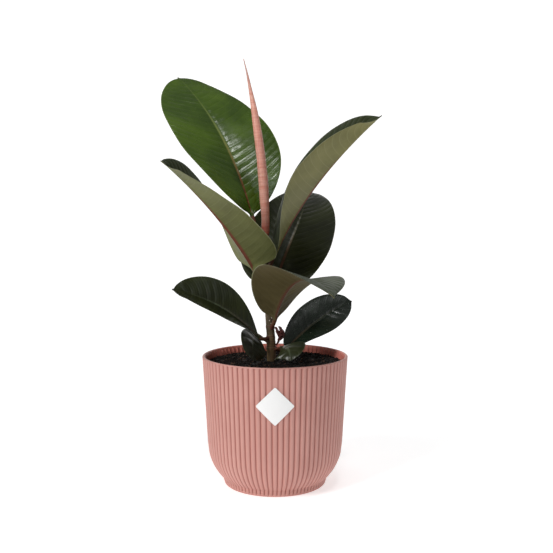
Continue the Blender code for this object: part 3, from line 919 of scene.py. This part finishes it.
def sheath_finish():
    """Waxy salmon skin, redder at its foot, darker red by its overlapping edge (partly its own colour, partly
    painted shade of its shaded side), greyish at the tip, with faint cross bands.
    """
    f = Finish("pink_sheath_skin")
    climb = f.attribute("climb")
    turn = f.attribute("round")
    band = f.noise(1.0, 2.0, 0.5, (60.0, 60.0, 620.0))
    streak = f.noise(60.0, 3.0, 0.5, (8.0, 8.0, 0.7))
    colour = f.colour(band.over(0.35, 0.65), (0.72, 0.290, 0.215), (0.84, 0.42, 0.33))
    colour = f.colour(streak.over(0.45, 0.8) * 0.4, colour, (0.62, 0.15, 0.11))
    # darker red just past the overlapping edge: partly the skin's own colour, partly painted shade of the
    # sheath's shaded right side
    colour = f.colour(turn.over(0.10, 0.0) * 0.6, colour, (0.45, 0.075, 0.055))
    colour = f.colour(climb.over(0.16, 0.0) * 0.75, colour, (0.50, 0.095, 0.055))
    colour = f.colour(climb.over(0.72, 1.0) * 0.8, colour, (0.50, 0.30, 0.27))
    return f.surface(base_color=colour, roughness=0.36 + 0.2 * streak, normal=f.bump(band, 0.00018, 0.6),
                     subsurface_weight=0.12)


def husk_finish():
    """Dry papery skin with painted shade: darkest in its creases, where the bump is lowest."""
    f = Finish("dry_dark_red_skin")
    crease = f.noise(700.0, 5.0, 0.65)
    # painted shade: the colour follows the crease bump, darkest where the bump sinks
    colour = f.colour(crease.over(0.3, 0.75), (0.030, 0.006, 0.005), (0.16, 0.035, 0.030))
    return f.surface(base_color=colour, roughness=0.5 + 0.3 * crease, normal=f.bump(crease, 0.0005, 0.9))


def sap_finish():
    """Dried milky sap."""
    f = Finish("dried_white_sap")
    cloud = f.noise(1800.0, 2.0)
    colour = f.colour(cloud, (0.62, 0.55, 0.42), (0.85, 0.82, 0.74))
    return f.surface(base_color=colour, roughness=0.25 + 0.2 * cloud, normal=f.bump(cloud, 0.0001, 0.3))


def vein_pattern(f, leaf):
    """Pale lines of the lateral veins, slanting forward from the midrib, and a finer set between them."""
    along = f.attribute("along")
    across = abs(f.attribute("across"))
    half = leaf.width / 2
    bend = across * across * (half * 0.25)
    wobble = f.noise(38.0, 2.0) * 2.2
    run = along * leaf.length - across * (half * VEIN_SLANT) - bend + wobble
    main = abs((run * (math.pi / VEIN_SPACING)).sine())
    fine = abs((run * (math.pi * 3.0 / VEIN_SPACING)).sine())
    return along, across, main, fine


# Colours of the two skins of a leaf, from young bright green to old and blackish, and olive to brown below.
TopTone = namedtuple("TopTone", "deep light vein midrib_foot midrib_tip roughness specks gloss")
UnderTone = namedtuple("UnderTone", "deep light vein midrib")

YOUNG = TopTone((0.026, 0.056, 0.001), (0.058, 0.108, 0.003), (0.080, 0.135, 0.010), (0.17, 0.050, 0.020),
                (0.16, 0.20, 0.05), 0.20, 0.0, 0.42)
DARK = TopTone((0.0090, 0.0115, 0.0020), (0.021, 0.026, 0.0055), (0.044, 0.052, 0.016), (0.090, 0.030, 0.016),
               (0.060, 0.062, 0.030), 0.30, 0.0, 0.24)
GREY = TopTone((0.0270, 0.0350, 0.0140), (0.0470, 0.0590, 0.0260), (0.100, 0.120, 0.062), (0.090, 0.040, 0.020),
               (0.100, 0.110, 0.060), 0.42, 0.0, 0.20)
LOW = TopTone((0.0130, 0.0170, 0.0050), (0.0330, 0.0400, 0.0120), (0.050, 0.060, 0.024), (0.080, 0.045, 0.028),
              (0.080, 0.100, 0.055), 0.27, 0.0, 0.40)
OLD = TopTone((0.0065, 0.0120, 0.0065), (0.0150, 0.0260, 0.0150), (0.024, 0.038, 0.024), (0.080, 0.055, 0.032),
              (0.055, 0.062, 0.040), 0.18, 1.0, 0.50)
OLIVE_BACK = UnderTone((0.098, 0.102, 0.028), (0.148, 0.156, 0.046), (0.180, 0.188, 0.070),
                       (0.17, 0.045, 0.022))
PALE_BACK = UnderTone((0.150, 0.142, 0.046), (0.222, 0.212, 0.076), (0.27, 0.26, 0.110), (0.15, 0.040, 0.020))
BROWN_BACK = UnderTone((0.064, 0.050, 0.018), (0.096, 0.076, 0.028), (0.110, 0.088, 0.038),
                       (0.10, 0.040, 0.022))


def top_finish(name, leaf, tone):
    """Glossy upper skin: lateral veins, a pale midrib and margin, and faint clouding."""
    f = Finish(name)
    along, across, main, fine = vein_pattern(f, leaf)
    cloud = f.noise(26.0, 4.0)
    colour = f.colour(cloud.over(0.3, 0.72), tone.deep, tone.light)
    colour = f.colour(main.over(0.22, 0.0) * 0.30, colour, tone.vein)
    half = leaf.width / 2
    midrib_width = (1.35 - along) * (1.35 / half)
    midrib = (across / midrib_width).over(1.15, 0.75)
    midrib_colour = f.colour(along.over(0.05, 0.55), tone.midrib_foot, tone.midrib_tip)
    colour = f.colour(midrib * (0.35 + 0.65 * along.over(0.85, 0.35)), colour, midrib_colour)
    margin = across.over(1.0 - 1.1 / half, 1.0 - 0.35 / half)
    colour = f.colour(margin * 0.7, colour, tone.midrib_tip)
    if tone.specks:
        specks = f.cells(330.0).over(0.10, 0.05) * f.noise(60.0, 1.0).over(0.52, 0.6)
        colour = f.colour(specks * tone.specks, colour, (0.50, 0.52, 0.50))
    dust = f.noise(70.0, 5.0, 0.65)
    rough = tone.roughness + 0.14 * dust
    swell = 0.15 + 0.75 * f.noise(48.0, 2.0).over(0.35, 0.70)
    height = main * swell + fine * 0.10 + f.noise(420.0, 3.0) * 0.05
    return f.surface(base_color=colour, roughness=rough, normal=f.bump(height, 0.00060, 0.8),
                     specular_ior_level=tone.gloss)


def under_finish(name, leaf, tone):
    """Matt lower skin with fine parallel veins, a thick red-brown midrib and a pale margin."""
    f = Finish(name)
    along, across, main, fine = vein_pattern(f, leaf)
    cloud = f.noise(30.0, 4.0)
    colour = f.colour(cloud.over(0.25, 0.75), tone.deep, tone.light)
    colour = f.colour(main.over(0.25, 0.0) * 0.45, colour, tone.vein)
    half = leaf.width / 2
    midrib_width = (1.25 - along) * (1.9 / half)
    midrib = (across / midrib_width).over(1.2, 0.8)
    colour = f.colour(midrib * along.over(0.85, 0.35), colour, tone.midrib)
    margin = across.over(1.0 - 1.3 / half, 1.0 - 0.5 / half)
    colour = f.colour(margin * 0.75, colour, (0.30, 0.30, 0.17))
    rough = 0.50 + 0.15 * cloud
    height = (1.0 - main) * 0.7 + fine * 0.2 + f.noise(500.0, 3.0) * 0.3
    return f.surface(base_color=colour, roughness=rough, normal=f.bump(height, 0.00028, 0.6),
                     specular_ior_level=0.3)


def stalk_finish(name, foot, tip):
    """Skin of the stalks, from the colour at the stem to the colour at the blade."""
    f = Finish(name)
    along = f.attribute("along")
    streak = f.noise(70.0, 4.0)
    colour = f.colour(along.over(-1.0, 0.0), foot, tip)
    colour = f.colour(streak.over(0.45, 0.75) * 0.5, colour, (0.10, 0.075, 0.030))
    return f.surface(base_color=colour, roughness=0.40 + 0.2 * streak, normal=f.bump(streak, 0.0002, 0.5))


# ---------------------------------------------------------------- studio

FLOOR_GLOW = 0.52               # keeps the sweep near white away from the shadow
SURROUND_STRENGTH = 0.20


def build_floor():
    """A pale sweep that rises behind the plant, so that floor and backdrop meet without a line."""
    half_width = 1.0
    bend_start, bend_radius = 0.55, 0.75
    rows = [(-0.62, 0.0), (bend_start, 0.0)]
    for i in range(1, 17):
        angle = math.pi / 2 * i / 16
        rows.append((bend_start + bend_radius * math.sin(angle), bend_radius * (1.0 - math.cos(angle))))
    rows.append((bend_start + bend_radius, 1.25))
    points, faces = [], []
    for y, z in rows:
        points += [(-half_width, y, z), (half_width, y, z)]
    for i in range(len(rows) - 1):
        faces.append((2 * i, 2 * i + 1, 2 * i + 3, 2 * i + 2))
    mesh = bpy.data.meshes.new("floor")
    mesh.from_pydata(points, [], faces)
    mesh.shade_smooth()
    floor = bpy.data.objects.new("floor", mesh)
    bpy.context.scene.collection.objects.link(floor)
    f = Finish("pale_floor")
    finish = f.surface(base_color=(0.85, 0.85, 0.85), roughness=0.9, emission_color=(1.0, 1.0, 1.0),
                       emission_strength=FLOOR_GLOW)
    mesh.materials.append(finish)


def add_light(name, place, aim, size, power, colour=(1.0, 1.0, 1.0)):
    """A soft panel at a place, turned to its aim, with its size in metres and power in watts."""
    lamp = bpy.data.lights.new(name, "AREA")
    lamp.shape = "RECTANGLE"
    lamp.size, lamp.size_y = size
    lamp.energy = power
    lamp.color = colour
    light = bpy.data.objects.new(name, lamp)
    light.location = place
    light.rotation_euler = (Vector(aim) - Vector(place)).to_track_quat("-Z", "Y").to_euler()
    bpy.context.scene.collection.objects.link(light)


def light_studio():
    """Even pale surroundings, a large panel at the left, a weak one at the right and a small one above."""
    world = bpy.data.worlds.new("studio")
    world.use_nodes = True
    background = world.node_tree.nodes["Background"]
    background.inputs["Color"].default_value = (1.0, 1.0, 1.0, 1.0)
    background.inputs["Strength"].default_value = SURROUND_STRENGTH
    bpy.context.scene.world = world
    bpy.context.scene.view_settings.view_transform = "Standard"
    add_light("key_left", (-1.0, -0.90, 1.0), (0.0, 0.0, 0.15), (0.5, 0.5), 15.0)
    add_light("right_strip", (0.75, -0.65, 1.15), (0.0, 0.0, 0.3), (0.20, 0.30), 1.8, (0.90, 0.95, 1.0))
    add_light("top_soft", (0.12, -0.30, 1.45), (0.0, 0.0, 0.2), (0.22, 0.22), 4.6)


# ---------------------------------------------------------------- make everything

def main():
    set_camera()
    build_pot().data.materials.append(pot_finish())
    build_sticker().data.materials.append(sticker_finish())
    soil = soil_finish()
    build_soil().data.materials.append(soil)
    build_crumbs("soil_crumbs", 2600, (0.5, 1.5), 11).data.materials.append(soil)
    build_stem().data.materials.append(stem_finish())
    build_sheath().data.materials.append(sheath_finish())
    build_husk().data.materials.append(husk_finish())
    build_beads("sap_beads", SAP_BEADS).data.materials.append(sap_finish())
    tones = {
        "leaf_back_left": (YOUNG, PALE_BACK),
        "leaf_right": (GREY, PALE_BACK),
        "leaf_left": (GREY, OLIVE_BACK),
        "leaf_back_right": (DARK, BROWN_BACK),
        "leaf_front": (GREY, BROWN_BACK),
        "leaf_low_left": (LOW, BROWN_BACK),
        "leaf_low_right": (OLD, BROWN_BACK),
        "leaf_soil_left": (LOW, BROWN_BACK),
        "leaf_soil_right": (LOW, BROWN_BACK),
    }
    stalk = stalk_finish("red_green_stalk", (0.10, 0.022, 0.014), (0.13, 0.045, 0.020))
    for seed, (name, leaf) in enumerate(LEAVES.items()):
        top, under = tones[name]
        finishes = (top_finish(name + "_top", leaf, top), under_finish(name + "_under", leaf, under), stalk)
        build_leaf(name, leaf, seed, finishes)
    build_floor()
    light_studio()
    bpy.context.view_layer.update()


main()
